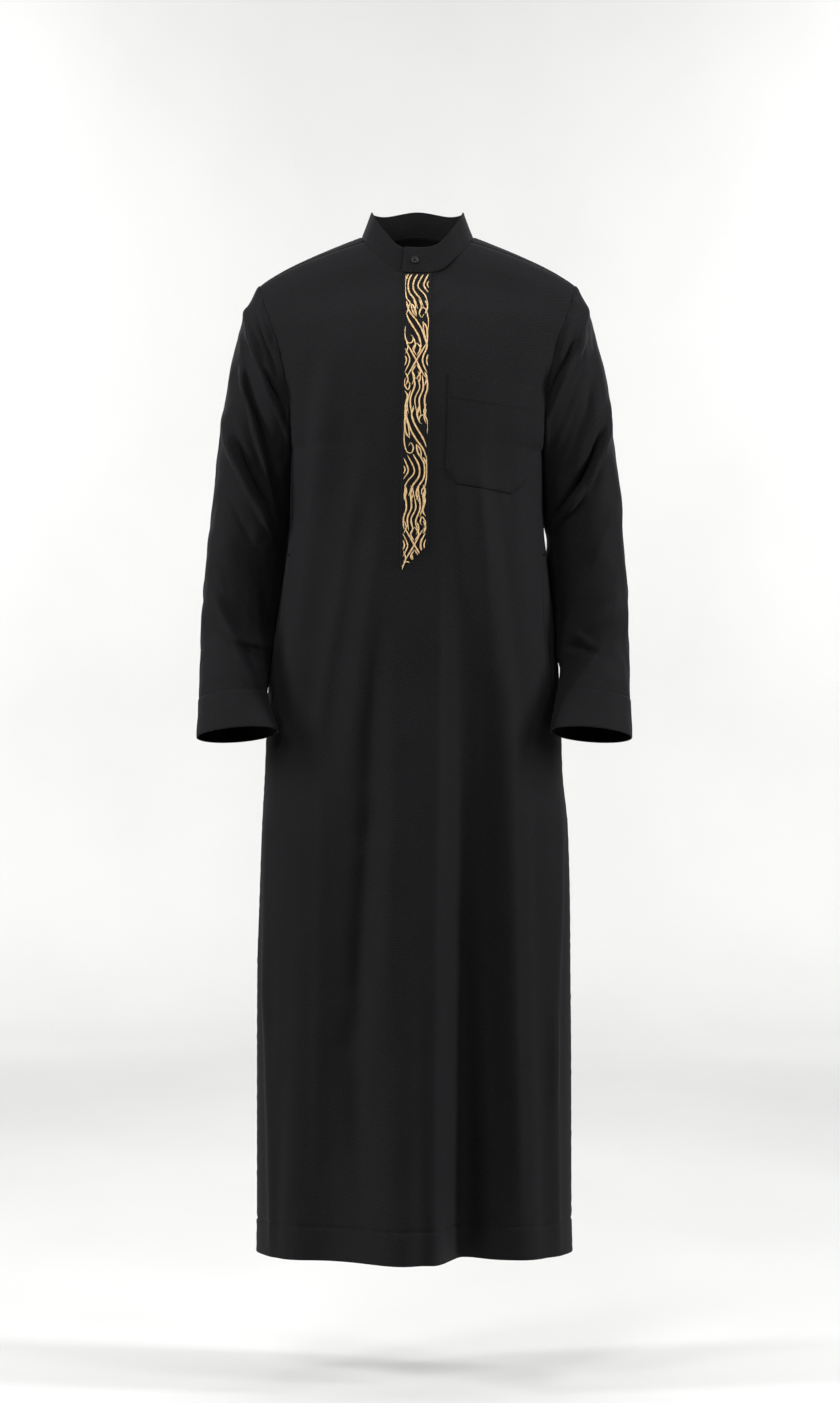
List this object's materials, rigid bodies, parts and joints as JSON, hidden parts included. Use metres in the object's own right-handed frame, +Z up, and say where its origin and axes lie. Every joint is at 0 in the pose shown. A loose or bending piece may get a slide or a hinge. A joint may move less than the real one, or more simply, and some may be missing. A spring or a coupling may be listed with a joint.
{
  "type": "thobe",
  "caption": "Black ankle-length thobe in its worn shape, with a stand collar, plain cuffs, a chest pocket and a gold-embroidered placket.",
  "frame": {"origin": "middle of the neck opening, level with the side neck points", "axes": "+Z up along the wearer's height, +X towards the wearer's left, the front faces -Y"},
  "size_m": [0.5852, 0.3185, 1.43],
  "materials": {
    "black_twill_front": "matte",
    "black_twill_back": "matte",
    "black_twill_sleeve_left": "matte",
    "black_twill_sleeve_right": "matte",
    "black_twill_cuff_left": "matte",
    "black_twill_cuff_right": "matte",
    "black_twill_collar": "matte",
    "black_twill_placket_over": "matte",
    "black_twill_placket_under": "matte",
    "black_twill_chest_pocket": "matte",
    "black_horn_button": "satin"
  },
  "bodies": {
    "root": {"front": "black_twill_front", "back": "black_twill_back", "sleeve_left": "black_twill_sleeve_left", "sleeve_right": "black_twill_sleeve_right", "cuff_left": "black_twill_cuff_left", "cuff_right": "black_twill_cuff_right", "collar": "black_twill_collar", "placket_over": "black_twill_placket_over", "placket_under": "black_twill_placket_under", "chest_pocket": "black_twill_chest_pocket", "collar_button": "black_horn_button"}
  },
  "joints": []
}
